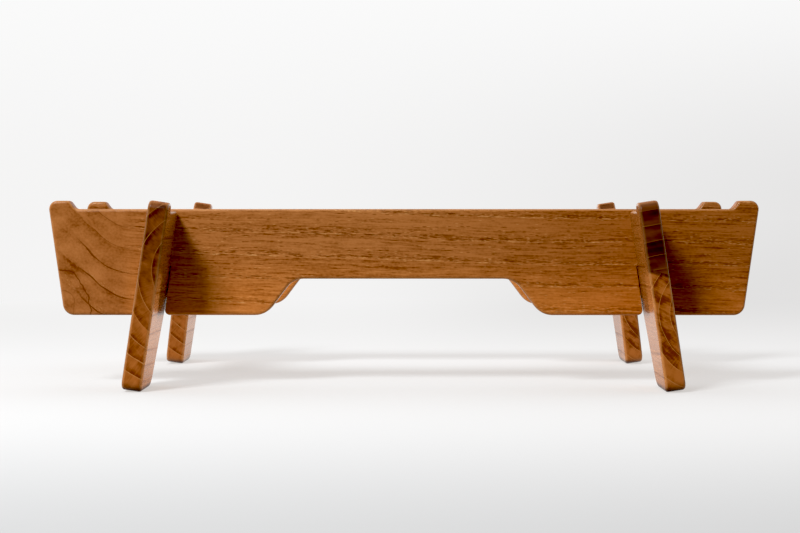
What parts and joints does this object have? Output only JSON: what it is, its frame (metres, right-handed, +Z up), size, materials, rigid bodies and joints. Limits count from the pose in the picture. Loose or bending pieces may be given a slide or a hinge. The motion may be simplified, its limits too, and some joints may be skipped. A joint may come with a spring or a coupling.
{
  "type": "cooler stand",
  "caption": "Low slot-together teak stand that holds a cooler off the ground, with arched rails, outward-tilted leg boards and raised end tabs that keep the cooler in place.",
  "frame": {"origin": "on the floor, under the middle of the stand", "axes": "+X along the rails, +Y from the front rail to the rear rail, +Z up"},
  "size_m": [0.6816, 0.394, 0.177],
  "materials": {
    "oiled_teak": "oiled, satin"
  },
  "bodies": {
    "left_leg_board": {"left_leg_board": "oiled_teak"},
    "front_rail": {"front_rail": "oiled_teak"},
    "rear_rail": {"rear_rail": "oiled_teak"},
    "right_leg_board": {"right_leg_board": "oiled_teak"}
  },
  "joints": [
    {"name": "front_rail_lift", "type": "slide", "parent": "left_leg_board", "child": "front_rail", "axis": [0.1513, 0, 0.9885], "range_m": [0, 0.11]},
    {"name": "rear_rail_lift", "type": "slide", "parent": "left_leg_board", "child": "rear_rail", "axis": [0.1513, 0, 0.9885], "range_m": [0, 0.11]},
    {"name": "right_leg_slide", "type": "slide", "parent": "front_rail", "child": "right_leg_board", "axis": [0.1513, 0, -0.9885], "range_m": [0, 0.11]}
  ],
  "couplings": [
    {"joint": "rear_rail_lift", "follows": "front_rail_lift", "ratio": 1},
    {"joint": "right_leg_slide", "follows": "front_rail_lift", "ratio": 1}
  ]
}
